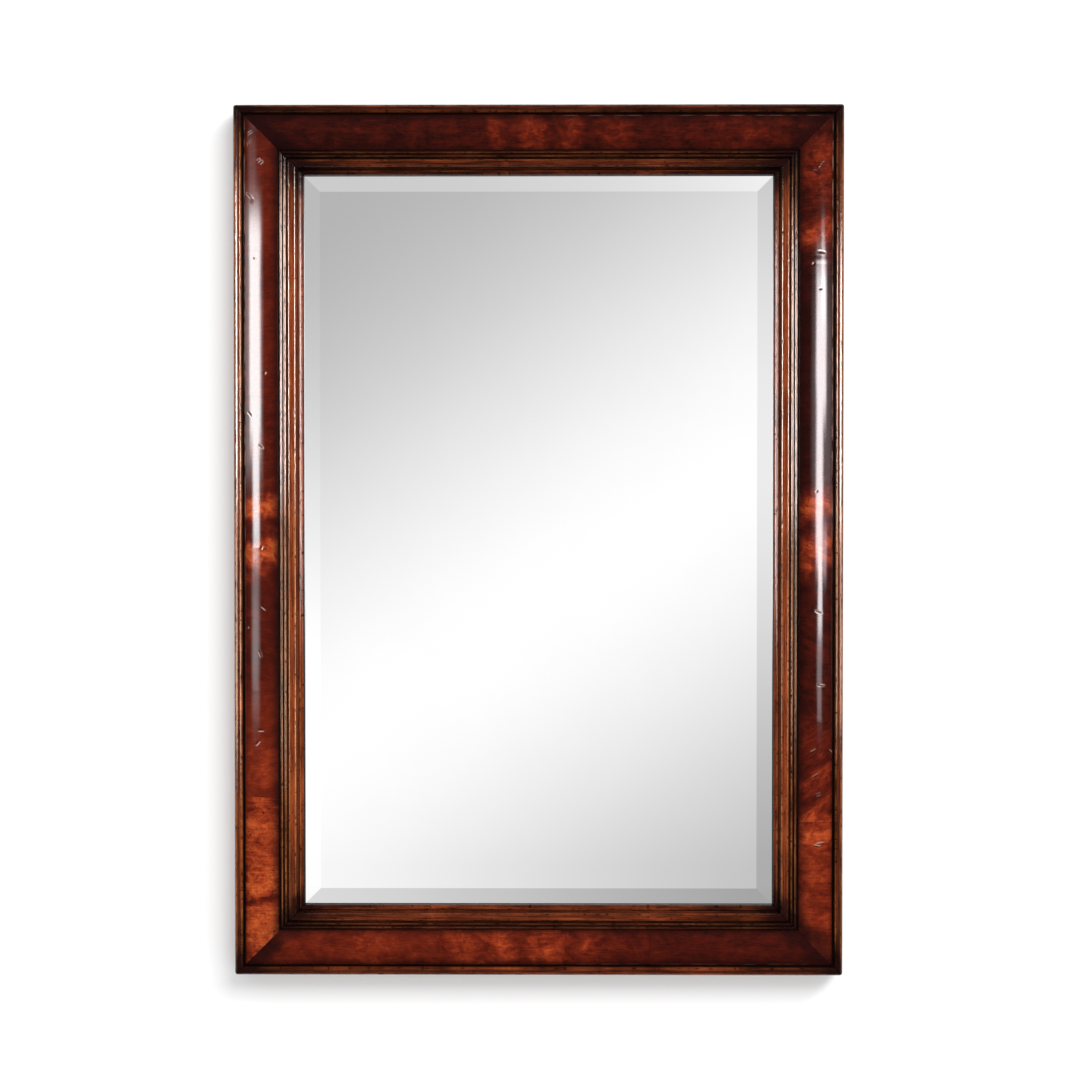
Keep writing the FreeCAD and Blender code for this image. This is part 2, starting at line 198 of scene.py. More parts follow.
# Veneer leaves, from the top of an upright or the left of a rail: where the leaf ends (z or x in
# millimetres, None at the mitre), its tone from dark 0 to bright 1, how strong its figure is, how far
# its grain leans, and how many millimetres its tone takes to run into the next leaf's
Leaf = collections.namedtuple("Leaf", "end tone figure lean blend")
LEAVES = {
    "left": (
        (362, 0.33, 0.5, 0.1, 60), (181, 0.32, 0.5, 0.2, 60), (-8, 0.29, 0.6, 0.1, 40),
        (-187, 0.27, 0.5, -0.3, 60), (-320, 0.385, 0.5, 0.1, 0), (None, 0.485, 1.5, 0.0, 0),
    ),
    "right": (
        (350, 0.24, 0.9, 0.0, 40), (75, 0.13, 0.4, 0.1, 50), (-224, 0.20, 0.6, -0.2, 30),
        (-351, 0.29, 0.9, 0.6, 40), (None, 0.43, 1.0, 0.0, 0),
    ),
    "top": (
        (-136, 0.165, 0.6, 0.02, 60), (2, 0.19, 0.7, 0.01, 40), (152, 0.19, 0.7, 0.0, 60),
        (None, 0.20, 0.8, 0.02, 0),
    ),
    "bottom": (
        (-124, 0.355, 0.7, 0.01, 60), (33, 0.33, 0.8, 0.01, 40), (139, 0.28, 0.8, 0.0, 60),
        (None, 0.22, 0.6, 0.01, 0),
    ),
}

# Bright flame patches in the veneer: place along the side, width along it, strength and lean
Flame = collections.namedtuple("Flame", "place width strength lean")
FLAMES = {
    "left": (
        (43, 26, 0.40, 0.2), (-13, 30, 0.44, 0.3), (-38, 14, 0.16, 0.5), (-428, 36, 0.20, 0.1),
        (-365, 36, 0.06, 0.0), (-285, 50, 0.08, 0.2), (-486, 44, 0.20, 0.0), (-450, 8, -0.22, 0.2),
    ),
    "right": (
        (478, 84, 0.14, 0.1), (389, 30, 0.19, 0.2), (380, 18, 0.10, 0.2), (45, 36, 0.36, 0.2),
        (-14, 46, 0.36, 0.3), (-300, 26, 0.12, 0.8), (-335, 14, 0.12, 0.8), (-362, 40, 0.18, 0.1),
    ),
    "top": (
        (-55, 20, 0.15, 0.2), (-8, 34, 0.20, 0.1), (39, 30, 0.17, -0.1), (92, 42, 0.14, 0.1),
        (258, 110, 0.06, 0.2),
    ),
    "bottom": (
        (-92, 32, 0.13, 0.5), (-45, 34, 0.15, 0.2), (11, 44, 0.16, 0.1), (64, 30, 0.12, -0.1),
        (-210, 60, 0.06, 0.2),
    ),
}

# How dark old wax and painted shade make the cushion where it meets its two mitres, in the order of its
# leaves
CORNER_WAX_AND_SHADE = by_side((0.3, 0.2), (0.5, 0.95), (0.95, 0.9), (0.95, 0.8))
CORNER_REACH = 26.0

# Ticks cut into the cushion by age: place along the side, d, half-length, slant in degrees, and how bright
# the painted highlight beside the cut is. All are as wide and as deep, with a highlight of one width as far
# from the cut, and each cut is darkened with wax and painted shadow.
Tick = collections.namedtuple("Tick", "place d half slant pale", defaults=(0.8,))
TICK_WIDTH = 0.9
TICK_DEPTH = 0.6
GLINT_PLACE = 1.5
GLINT_WIDTH = 0.6
TICKS = {
    "left": (
        (509, 21.5, 3.6, 60), (498, 19.5, 3.4, 50), (474, 33.0, 2.6, 50), (472, 36.0, 2.6, 50),
        (431, 20.5, 4.2, 130), (427, 23.5, 2.6, 110), (353, 27.0, 1.3, 0), (159, 20.5, 3.4, 140),
        (118, 35.5, 3.2, 130), (-8, 35.5, 2.4, 20), (-83, 38.5, 3.4, 130), (-141, 34.0, 3.8, 160),
        (-236, 34.5, 3.2, 90), (-252, 30.0, 3.4, 40), (-108, 17.0, 1.2, 0), (210, 40.0, 1.6, 30),
    ),
    "right": (
        (469, 27.5, 3.2, 30, 0.2), (460, 37.0, 2.6, 110, 0.1), (464, 31.0, 1.6, 0, 0.1),
        (360, 28.5, 4.0, 100), (345, 38.5, 1.6, 30), (314, 30.0, 2.0, 80), (-88, 32.0, 4.4, 110),
        (-180, 28.5, 4.6, 100), (-263, 16.5, 2.6, 140, 0.4), (-262, 37.5, 3.6, 60, 0.4),
        (-293, 34.5, 4.4, 60, 0.25), (-316, 31.0, 3.0, 70, 0.2), (-378, 29.0, 4.6, 80),
        (-381, 33.5, 3.6, 100), (62, 34.0, 1.4, 20),
    ),
}


def arc(centre, radius, start, end, steps):
    """Points of a circle from one angle to another, in degrees, both ends included."""
    points = []
    for step in range(steps + 1):
        angle = math.radians(start + (end - start) * step / steps)
        points.append((centre[0] + radius * math.cos(angle), centre[1] + radius * math.sin(angle)))
    return points


def crown(outer, inner, edge, rise, sink, steps):
    """A shallow arc over a member's width, sunk below its face, from its outer to its inner side."""
    half = (inner - outer) / 2
    face_radius = (half ** 2 + rise ** 2) / (2 * rise)
    radius = face_radius - sink
    side = math.degrees(math.acos(half / radius))
    return arc((outer + half, edge + rise - face_radius), radius, 180 - side, side, steps)


def straight(start, end, steps):
    """Points between two others, both left out."""
    run = end[0] - start[0]
    rise = end[1] - start[1]
    shares = [step / steps for step in range(1, steps)]
    return [(start[0] + run * share, start[1] + rise * share) for share in shares]


def bead_loop():
    """Section of the outer bead's crown, which the sheen lamps light."""
    top = crown(0.0, BEAD_WIDTH, BEAD_SPRING, BEAD_RISE, 0.0, 16)
    return [(0.0, QUIRK_FLOOR)] + top + [(BEAD_WIDTH, QUIRK_FLOOR)]


def bead_side_loop():
    """Section of the outer bead below its crown: the frame's plain sides."""
    rise = [(0.0, 0.0)] + straight((0.0, 0.0), (0.0, QUIRK_FLOOR), 6)
    return rise + [(0.0, QUIRK_FLOOR), (BEAD_WIDTH, QUIRK_FLOOR), (BEAD_WIDTH, 0.0)]


def veneer_loop():
    """Section of the veneer, bent over the cushion."""
    face = crown(CUSHION_OUTER, CUSHION_INNER, CUSHION_EDGE, CUSHION_RISE, 0.0, 60)
    back = crown(CUSHION_OUTER, CUSHION_INNER, CUSHION_EDGE, CUSHION_RISE, VENEER, 12)
    return face + back[::-1]


def moulding_loop():
    """Section of the two reeds and the band."""
    points = [(CUSHION_INNER, PLATFORM), (CUSHION_INNER, REEDS[0][1])]
    for middle, base in REEDS:
        points += arc((middle, base), REED_RADIUS, 180, 0, 8)
    second_inner = REEDS[1][0] + REED_RADIUS
    points += [(second_inner, BAND_QUIRK), (BAND_OUTER, BAND_QUIRK)]
    points += arc((BAND_OUTER + BAND_ARRIS, BAND_TOP - BAND_ARRIS), BAND_ARRIS, 180, 90, 5)
    points += straight((BAND_OUTER + BAND_ARRIS, BAND_TOP), (BAND_INNER - BAND_ARRIS, BAND_TOP), 5)
    points += arc((BAND_INNER - BAND_ARRIS, BAND_TOP - BAND_ARRIS), BAND_ARRIS, 90, 0, 5)
    return points + [(BAND_INNER, SLIP_QUIRK), (SLIP_OUTER, SLIP_QUIRK), (SLIP_OUTER, PLATFORM)]


def slip_loop():
    """Section of the thumb moulding next to the glass, with its tongue."""
    crest_d = SLIP_OUTER + SLIP_CREST_RADIUS
    run = FACE_WIDTH - crest_d
    thumb = (run ** 2 + SLIP_THUMB_DROP ** 2) / (2 * SLIP_THUMB_DROP)
    low = 90 - math.degrees(math.asin(run / thumb))
    points = [(TONGUE_OUTER, LIP), (TONGUE_OUTER, PLATFORM), (SLIP_OUTER, PLATFORM)]
    points += arc((crest_d, SLIP_CREST - SLIP_CREST_RADIUS), SLIP_CREST_RADIUS, 180, 90, 5)
    points += arc((crest_d, SLIP_CREST - thumb), thumb, 90, low, 8)[1:]
    return points + [(FACE_WIDTH, LIP)]


def bell(distance, reach):
    """1 at no distance and near 0 beyond twice the reach."""
    return math.exp(-(distance / reach) ** 2)


def hump(distance, height, reach):
    return height * bell(distance, reach)


def soft_step(share):
    """From 0 to 1, as the share is, with soft ends."""
    share = max(0.0, min(1.0, share))
    return share * share * (3 - 2 * share)


def nearness(d, places, reach):
    """1 on the nearest of some places and 0 well away from them."""
    return max(bell(d - place, reach) for place in places)


def normals(loop):
    """Outward unit normals of a closed section drawn with its body on the right."""
    found = []
    for before, after in zip(loop[-1:] + loop[:-1], loop[1:] + loop[:1]):
        step = (after[0] - before[0], after[1] - before[1])
        size = math.hypot(*step) or 1.0
        found.append((-step[1] / size, step[0] / size))
    return found


def to_world(side, along, d, h):
    """Place of a point of one side of the frame, in metres."""
    turn = math.radians(side.turn)
    up = d - side.reach
    x = along * math.cos(turn) + up * math.sin(turn)
    z = up * math.cos(turn) - along * math.sin(turn)
    return Vector((x, -(WALL_GAP + h), z)) * MM


def stations(start, end, step, ends, near=()):
    """Shares from 0 to 1 along a length, closer together at its ends and near some places."""
    length = end - start
    count = max(FEWEST_STATIONS, round(length / step))
    places = [start + length * index / count for index in range(count + 1)]
    for offset in ends:
        places += [start + offset, end - offset]
    for place, reach in near:
        for offset in range(-TICK_STATIONS, TICK_STATIONS + 1):
            places.append(place + reach * offset / TICK_STATIONS)
    low = start + ends[0] - HAIR
    high = end - ends[0] + HAIR
    kept = [start]
    for place in sorted(place for place in places if low < place < high):
        if place - kept[-1] > CLOSEST:
            kept.append(place)
    kept.append(end)
    return [(place - start) / length for place in kept]


def wavy(along, d, seed, waves):
    """Smooth handmade unevenness, from -1 to 1."""
    return noise.noise(Vector((along / waves.along, d / waves.across, seed + waves.seed)))


def new_object(name, mesh):
    piece = bpy.data.objects.new(name, mesh)
    bpy.context.scene.collection.objects.link(piece)
    return piece


def round_corner(d, from_end):
    """How far the frame's outer edge draws in where two sides meet."""
    gap = max(from_end, CORNER_RADIUS * (1 - math.sqrt(0.5)))
    if d > CORNER_RADIUS or gap > CORNER_RADIUS:
        return 0.0
    full = CORNER_RADIUS - math.sqrt(CORNER_RADIUS ** 2 - (CORNER_RADIUS - gap) ** 2)
    return full * (1 - d / CORNER_RADIUS)


class Weave:
    """Collects the vertices, faces and vertex values of a swept piece."""

    def __init__(self):
        self.points = []
        self.faces = []
        self.values = collections.defaultdict(list)

    def add_length(self, side, loop, start, end, shares, sink, value):
        """One closed length of a section. start and end give the place along the side for each d."""
        first = len(self.points)
        outward = normals(loop)
        size = len(loop)
        for share in shares:
            for (d, h), (out_d, out_h) in zip(loop, outward):
                run = end(d) - start(d)
                along = start(d) + run * share
                from_end = min(share, 1 - share) * run
                depth = sink(along, d, h, from_end)
                new_d = d - out_d * depth + round_corner(d, from_end)
                new_along = max(new_d - side.length / 2, min(side.length / 2 - new_d, along))
                self.points.append(to_world(side, new_along, new_d, h - out_h * depth))
                for key, amount in value(along, d, h, from_end).items():
                    self.values[key].append(amount)
        for row in range(len(shares) - 1):
            base = first + row * size
            for column in range(size):
                after = (column + 1) % size
                self.faces.append((base + column, base + size + column, base + size + after, base + after))
        last = first + (len(shares) - 1) * size
        self.faces.append(tuple(range(first, first + size)))
        self.faces.append(tuple(reversed(range(last, last + size))))

    def mesh(self, name):
        mesh = bpy.data.meshes.new(name)
        mesh.from_pydata([tuple(point) for point in self.points], [], self.faces)
        for key, amounts in self.values.items():
            if isinstance(amounts[0], tuple):
                layer = mesh.attributes.new(key, "FLOAT_VECTOR", "POINT")
                layer.data.foreach_set("vector", [part for amount in amounts for part in amount])
            else:
                layer = mesh.attributes.new(key, "FLOAT", "POINT")
                layer.data.foreach_set("value", amounts)
        mesh.validate()
        mesh.update()
        return mesh


def mitre_ends(side):
    """Where a side's two mitred ends lie, as functions of d."""
    return (lambda d: d - side.length / 2), (lambda d: side.length / 2 - d)


def member_tone(side, d):
    """How bright the member of the mouldings at one place is."""
    members = (
        (BEAD_WIDTH + SLACK, BEAD_TONE), (BAND_OUTER - SLACK, REED_TONE), (SLIP_OUTER - SLACK, BAND_TONE),
    )
    for inner, tones in members:
        if d < inner:
            return tones[side.name]
    return SLIP_TONE[side.name]


def nick(side, along, d):
    """How deep in a nick of a ridge a point lies, from 0 up."""
    return nearness(d, RIDGES, RIDGE_REACH) * max(0.0, wavy(along, d, side.seed, NICKS) - NICK_SPARED)


def moulding_sink(side, along, d, h, from_end):
    """How far a point of a moulding is worn down, in millimetres."""
    if h < UNWORN_BELOW:
        return 0.0
    fade = min(1.0, from_end / WEAR_FADE)
    waves = 2 + wavy(along, d, side.seed, LONG_WAVES) + wavy(along, d, side.seed, SHORT_WAVES)
    worn = WAVE_DEPTH * waves + NICK_DEPTH * nick(side, along, d)
    return fade * worn + hump(from_end, *MITRE_DIP)


def moulding_values(side, along, d, h, from_end):
    """What the wood's material is told about a point of a moulding."""
    groove = max(nearness(d, GROOVES, GROOVE_REACH), soft_step((d - SIGHT_EDGE) / SIGHT_SOFTNESS))
    line = hump(d - BEAD_LINE, *LINE_WAX)
    nicked = min(1.0, NICK_WAX * nick(side, along, d))
    # Old wax and painted shade darken the mouldings towards the mitres
    ragged = CORNER_RAGGED * wavy(along, d, side.seed, CORNER_RAGS)
    return {
        "grain": (along * MM, (d + h) * MM, side.seed),
        "tone": member_tone(side, d) - hump(from_end, *END_DROP),
        "wax": max(WAXING[side.name] * groove, line, bell(from_end, MITRE_WAX_REACH), nicked),
        "shade": CORNER_SHADE * math.exp(-max(0.0, from_end / CORNER_REACH + ragged) ** 4),
        "wear": RUBBING[side.name] * nearness(d, RIDGES, RIDGE_REACH) if h > RUBBED_ABOVE else 0.0,
    }


def moulded_side(name, side, loop, step, material, node):
    """A worn length of solid moulding, mitred at both ends."""
    start, end = mitre_ends(side)
    middle = sum(d for d, h in loop) / len(loop)
    shares = stations(start(middle), end(middle), step, MOULDING_ENDS)
    sink = functools.partial(moulding_sink, side)
    value = functools.partial(moulding_values, side)
    weave = Weave()
    weave.add_length(side, loop, start, end, shares, sink, value)
    return wooden(name, weave, material, node)


def wooden(name, weave, material, node):
    """Finish a swept piece, in place of the CAD node that it details."""
    mesh = weave.mesh(name)
    mesh.shade_smooth()
    mesh.set_sharp_from_angle(angle=SHARP_ANGLE)
    mesh.materials.append(material)
    piece = new_object(name, mesh)
    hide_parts(node)
    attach(piece, "frame")
    return piece


def tick_marks(ticks, along, d):
    """How deep in a tick a point lies, from 0 to 1, and how bright the painted highlight beside it is."""
    deep = 0.0
    edge = 0.0
    for tick in ticks:
        if abs(along - tick.place) > 3 * tick.half:
            continue
        turn = math.radians(-tick.slant)
        run = (along - tick.place) * math.cos(turn) + (d - tick.d) * math.sin(turn)
        off = (d - tick.d) * math.cos(turn) - (along - tick.place) * math.sin(turn)
        reach = math.exp(-(run / tick.half) ** 4)
        deep = max(deep, reach * bell(off, TICK_WIDTH))
        edge = max(edge, tick.pale * reach * bell(off - GLINT_PLACE, GLINT_WIDTH))
    return deep, edge


class Cushion:
    """The cushion's veneer on one side, leaf by leaf, with its ticks and flames."""

    def __init__(self, side):
        self.side = side
        self.start, self.end = mitre_ends(side)
        self.ticks = [Tick(side.along * place, *others) for place, *others in TICKS.get(side.name, ())]
        self.flames = [Flame(side.along * place, *others) for place, *others in FLAMES[side.name]]
        self.leaves = [Leaf(*row) for row in LEAVES[side.name]]
        self.blends = [leaf.blend for leaf in self.leaves[:-1]]
        self.stops = [leaf.end for leaf in self.leaves[:-1]]
        self.corner_wax = list(CORNER_WAX_AND_SHADE[side.name])
        if side.name in ("right", "top"):
            for listed in (self.leaves, self.blends, self.stops, self.corner_wax):
                listed.reverse()

    def joint(self, number):
        """Place of the joint before a leaf, as a function of d."""
        if number == 0:
            return self.start
        if number == len(self.leaves):
            return self.end
        lean = JOINT_LEAN * (number % 3 - 1)
        return lambda d: self.side.along * self.stops[number - 1] + lean * (d - CUSHION_MIDDLE)

    def tone(self, number, along, d):
        """Tone of a leaf, run into its neighbours' where they blend."""
        tone = self.leaves[number].tone
        drift = DRIFT * wavy(along, d, self.side.seed, LEAF_DRIFT)
        for step, index in ((-1, number - 1), (1, number)):
            other = number + step
            if 0 <= other < len(self.leaves) and self.blends[index]:
                away = abs(along - self.joint(index + 1)(d)) + drift
                share = 0.5 * (1 - soft_step(away / self.blends[index] * 2))
                tone += share * (self.leaves[other].tone - self.leaves[number].tone)
        return tone

    def glow(self, along, d):
        """How much brighter the flames make a point."""
        glow = 0.0
        for flame in self.flames:
            ragged = FLAME_RAGGED * wavy(along, d, self.side.seed + flame.place, FLAME_RAGS)
            shift = along - flame.place + flame.lean * (d - CUSHION_MIDDLE)
            glow += flame.strength * math.exp(-abs(shift / (flame.width / 2) + ragged) ** 3)
        return glow

    def shade(self, along, d):
        """How dark old wax and painted shade make a point, along the cushion's edges and at its mitres."""
        outer = hump(d - CUSHION_OUTER, *OUTER_SHADE[self.side.name])
        inner = hump(CUSHION_INNER - d, *INNER_SHADE[self.side.name])
        clear = 1 - min(1.0, outer + inner)
        ragged = WAX_AND_SHADE_RAGGED * wavy(along, d, self.side.seed, WAX_AND_SHADE_RAGS)
        for dark, gap in zip(self.corner_wax, (along - self.start(d), self.end(d) - along)):
            clear *= 1 - dark * math.exp(-(gap / CORNER_REACH + ragged) ** 4)
        return 1 - clear

    def rim_wear(self, along, d, from_end):
        """How bright the painted highlight along the outer rim is."""
        upper = soft_step((self.side.along * along + RIM_HALF_FADE) / (2 * RIM_HALF_FADE))
        patches = soft_step(0.5 + RIM_CONTRAST * wavy(along, 0.0, self.side.seed, RIM_PATCHES))
        rim = bell(d - CUSHION_OUTER - RIM_PLACE, RIM_REACH)
        return RIM_HIGHLIGHT * RUBBING[self.side.name] * upper * patches * min(1.0, from_end / RIM_END_FADE) * rim

    def sink(self, number, along, d, h, from_end):
        """How far a point of a leaf is worn down, in millimetres."""
        fade = min(1.0, from_end / LEAF_FADE)
        depth = LEAF_WAVE_DEPTH * (1 + wavy(along, d, self.side.seed + number, LEAF_WAVES)) * fade
        depth += TICK_DEPTH * tick_marks(self.ticks, along, d)[0]
        edge = min(d - CUSHION_OUTER, CUSHION_INNER - d)
        return depth + hump(edge, *EDGE_ROUNDING) + hump(from_end, JOINT_DEPTH, JOINT_REACH)

    def value(self, number, along, d, h, from_end):
        """What the veneer's material is told about a point of a leaf. The rails' grain runs along them."""
        leaf = self.leaves[number]
        # A tick's cut is darkened with wax and painted shadow, and a painted highlight lies beside it
        deep, glint = tick_marks(self.ticks, along, d)
        seam = hump(from_end, FAINT_SEAM if leaf.blend else CLEAR_SEAM, JOINT_REACH)
        edge = max(bell(d - CUSHION_OUTER, OUTER_WAX_REACH), bell(CUSHION_INNER - d, INNER_WAX_REACH))
        run, cross = (d, along) if self.side.name in RAILS else (along, d)
        return {
            "grain": ((run + leaf.lean * cross) * MM, cross * MM, self.side.seed + LEAF_SHIFT * number),
            "tone": self.tone(number, along, d),
            "figure": leaf.figure,
            "glow": self.glow(along, d),
            "wax": max(WAXING[self.side.name] * edge, deep, seam),
            "shade": self.shade(along, d),
            "wear": max(glint, self.rim_wear(along, d, from_end)),
        }

    def weave(self):
        weave = Weave()
        loop = veneer_loop()
        near = [(tick.place, tick.half + TICK_MARGIN) for tick in self.ticks]
        for number in range(len(self.leaves)):
            start = self.joint(number)
            end = self.joint(number + 1)
            shares = stations(start(CUSHION_MIDDLE), end(CUSHION_MIDDLE), LEAF_STEP, LEAF_ENDS, near)
            sink = functools.partial(self.sink, number)
            value = functools.partial(self.value, number)
            weave.add_length(self.side, loop, start, end, shares, sink, value)
        return weave


def veneer_side(side, material):
    weave = Cushion(side).weave()
    return wooden("veneer_" + side.name, weave, material, "cushion_veneer_" + side.name)


class Recipe:
    """The nodes of a material, a lamp or the world, added by short calls that give back output sockets."""

    def __init__(self, owner, shader="Principled BSDF"):
        self.owner = bpy.data.materials.new(owner) if isinstance(owner, str) else owner
        self.owner.use_nodes = True
        self.tree = self.owner.node_tree
        self.shader = self.tree.nodes[shader]

    def node(self, kind, **settings):
        made = self.tree.nodes.new("ShaderNode" + kind)
        for key, setting in settings.items():
            setattr(made, key, setting)
        return made

    def feed(self, socket, source):
        """Link a socket's source, or set its value."""
        if isinstance(source, bpy.types.NodeSocket):
            self.tree.links.new(source, socket)
        else:
            socket.default_value = source

    def fill(self, node, *sources, **named):
        """Feed a node's first inputs in their order, and others by their names."""
        for socket, source in zip(node.inputs, sources):
            self.feed(socket, source)
        for name, source in named.items():
            self.feed(node.inputs[name.replace("_", " ")], source)

    def show(self, shader):
        """Put a shader node in place of the usual one."""
        self.fill(self.tree.nodes["Material Output"], Surface=shader.outputs[0])

    def vertex(self, name, output="Fac"):
        return self.node("Attribute", attribute_name=name).outputs[output]

    def place(self):
        return self.node("TexCoord").outputs["Object"]

    def parts(self, vector):
        made = self.node("SeparateXYZ")
        self.fill(made, vector)
        return made.outputs

    def noise(self, vector, scale, detail, roughness, distortion=0.0):
        """A cloudy pattern, with so many waves to the metre along each axis."""
        stretched = self.node("Mapping")
        self.fill(stretched, Vector=vector, Scale=scale)
        made = self.node("TexNoise")
        self.fill(made, Vector=stretched.outputs["Vector"], Scale=1.0)
        self.fill(made, Detail=detail, Roughness=roughness, Distortion=distortion)
        return made.outputs["Fac"]

    def sum(self, *terms):
        """Add up pairs of a socket and the amount of it."""
        total = 0.0
        for socket, amount in terms:
            total = self.math("MULTIPLY_ADD", socket, amount, total)
        return total

    def math(self, operation, *sources):
        made = self.node("Math", operation=operation)
        self.fill(made, *sources)
        return made.outputs[0]

    def product(self, first, second):
        return self.math("MULTIPLY", first, second)

    def span(self, value, low, high, to_low=0.0, to_high=1.0, curve="LINEAR"):
        made = self.node("MapRange", interpolation_type=curve)
        self.fill(made, Value=value, From_Min=low, From_Max=high, To_Min=to_low, To_Max=to_high)
        return made.outputs["Result"]

    def ramp(self, value, stops):
        made = self.node("ValToRGB")
        self.fill(made, value)
        elements = made.color_ramp.elements
        while len(elements) < len(stops):
            elements.new(0.5)
        for element, (position, colour) in zip(elements, stops):
            element.position = position
            element.color = tuple(colour) + (1.0,)
        return made.outputs["Color"]

    def mix(self, share, first, second):
        """Two colours mixed. Their sockets come after the node's sockets for numbers and vectors."""
        made = self.node("Mix", data_type="RGBA")
        self.fill(made, share)
        self.feed(made.inputs[6], first)
        self.feed(made.inputs[7], second)
        return made.outputs[2]

    def bump(self, height, distance, strength):
        made = self.node("Bump")
        self.fill(made, Strength=strength, Distance=distance, Height=height)
        return made.outputs["Normal"]

    def surface(self, colour, roughness, **others):
        self.fill(self.shader, Base_Color=colour, Roughness=roughness, **others)
        return self.owner


SCREEN_WHITE = 255.0


def linear(red, green, blue):
    """A colour given as it looks on screen, from 0 to 255, as the shader's linear values."""
    channels = []
    for value in (red, green, blue):
        share = value / SCREEN_WHITE
        channels.append(share / 12.92 if share <= 0.04045 else ((share + 0.055) / 1.055) ** 2.4)
    return tuple(channels)


def opaque(red, green, blue):
    return linear(red, green, blue) + (1.0,)


def dulled(recipe, gloss):
    """A wood's gloss, lost where old wax lies on it."""
    return recipe.sum((1.0, gloss), (recipe.vertex("wax"), -0.8 * gloss))


# Colours: old wax, which also stands for painted shadow in the ticks' cuts
WAX = opaque(20, 8, 5)
# Old wax with painted shade, for the cushion's edges and the mitres
WAX_AND_SHADE = opaque(32, 13, 13)
# Painted highlight, for the glint beside each tick and along the cushion's outer rim
GLINT = opaque(230, 186, 166)


def veneer_material():
    """Figured red mahogany under a glossy old polish."""
    recipe = Recipe("veneer_mahogany")
    grain = recipe.vertex("grain", "Vector")
    figure = recipe.vertex("figure")
    broad = recipe.noise(grain, (44, 30, 1), 4.0, 0.65, 0.8)
    mottle = recipe.noise(grain, (100, 70, 1), 4.0, 0.65, 0.8)
    stripes = recipe.noise(grain, (300, 24, 1), 3.0, 0.6, 1.2)
    fine = recipe.noise(grain, (900, 90, 1), 2.0, 0.6, 0.3)
    specks = recipe.noise(grain, (560, 360, 1), 1.0, 0.5)
    pores = recipe.noise(grain, (3200, 260, 1), 1.0, 0.5)
    swing = recipe.product(recipe.sum((broad, 0.75), (mottle, 0.45), (stripes, 0.34), (1.0, -0.77)), figure)
    flame = recipe.product(recipe.vertex("glow"), recipe.span(mottle, 0.3, 0.65, 0.45, 1.25))
    streak = recipe.math("SUBTRACT", fine, 0.5)
    tone = recipe.sum((recipe.vertex("tone"), 1.0), (swing, 0.75), (flame, 1.0), (streak, 0.16))
    wood = recipe.ramp(tone, (
        (0.0, linear(26, 10, 10)), (0.14, linear(48, 16, 13)), (0.28, linear(83, 24, 14)),
        (0.40, linear(112, 36, 18)), (0.52, linear(146, 52, 25)), (0.68, linear(184, 77, 36)),
        (0.9, linear(216, 110, 48)),
    ))
    pored = recipe.mix(recipe.span(pores, 0.30, 0.42, 0.4, 0.0), wood, opaque(26, 8, 5))
    pits = recipe.product(recipe.span(specks, 0.27, 0.34, 0.9, 0.0), recipe.span(figure, 0.5, 1.5, 0.35, 1.0))
    specked = recipe.mix(pits, pored, opaque(30, 9, 5))
    # Old wax and painted shade along the cushion's edges and at its mitres
    shade = recipe.product(recipe.vertex("shade"), recipe.span(broad, 0.3, 0.7, 1.0, 0.85))
    shaded = recipe.mix(shade, specked, WAX_AND_SHADE)
    # Painted highlights beside the ticks and along the cushion's outer rim
    glinted = recipe.mix(recipe.vertex("wear"), shaded, GLINT)
    waxed = recipe.mix(recipe.vertex("wax"), glinted, WAX)
    roughness = recipe.sum((recipe.span(broad, 0.3, 0.7, 0.11, 0.15), 1.0), (recipe.vertex("wax"), 0.25))
    relief = recipe.bump(recipe.sum((fine, 0.5), (pores, 0.5)), 0.0001, 0.35)
    return recipe.surface(waxed, roughness, Normal=relief, Specular_IOR_Level=dulled(recipe, 0.4))


def moulding_material():
    """Long-grained mahogany, dark and waxed, rubbed lighter on its ridges and chipped."""
    recipe = Recipe("moulding_mahogany")
    grain = recipe.vertex("grain", "Vector")
    streaks = recipe.noise(grain, (12, 640, 1), 3.0, 0.65, 0.6)
    patches = recipe.noise(grain, (17, 130, 1), 4.0, 0.65, 0.5)
    specks = recipe.noise(grain, (420, 900, 1), 2.0, 0.6)
    dents = recipe.noise(grain, (150, 320, 1), 2.0, 0.5)
    chips = recipe.noise(grain, (230, 420, 1), 1.0, 0.5)
    tone = recipe.sum(
        (recipe.vertex("tone"), 1.0), (recipe.math("SUBTRACT", streaks, 0.5), 0.9),
        (recipe.math("SUBTRACT", patches, 0.5), 0.8),
    )
    wood = recipe.ramp(tone, (
        (0.15, linear(32, 13, 9)), (0.38, linear(61, 25, 15)), (0.55, linear(94, 39, 20)),
        (0.75, linear(134, 58, 29)), (0.95, linear(174, 86, 43)),
    ))
    rubbed = recipe.product(recipe.vertex("wear"), recipe.span(patches, 0.35, 0.65, 0.1, 0.85))
    worn = recipe.mix(rubbed, wood, opaque(190, 124, 66))
    speckled = recipe.span(specks, 0.30, 0.38, 0.8, 0.0)
    pitted = recipe.math("MAXIMUM", speckled, recipe.span(chips, 0.28, 0.34, 0.9, 0.0))
    specked = recipe.mix(pitted, worn, opaque(22, 8, 4))
    # Old wax and painted shade towards the mitres
    shaded = recipe.mix(recipe.vertex("shade"), specked, WAX_AND_SHADE)
    waxed = recipe.mix(recipe.vertex("wax"), shaded, WAX)
    roughness = recipe.sum((recipe.span(patches, 0.3, 0.7, 0.09, 0.14), 1.0), (recipe.vertex("wax"), 0.3))
    relief = recipe.bump(recipe.sum((dents, 1.0), (streaks, 0.2), (specks, 0.2)), 0.0004, 0.8)
    gloss = recipe.product(dulled(recipe, 0.45), recipe.math("SUBTRACT", 1.0, pitted))
    return recipe.surface(waxed, roughness, Normal=relief, Specular_IOR_Level=gloss)


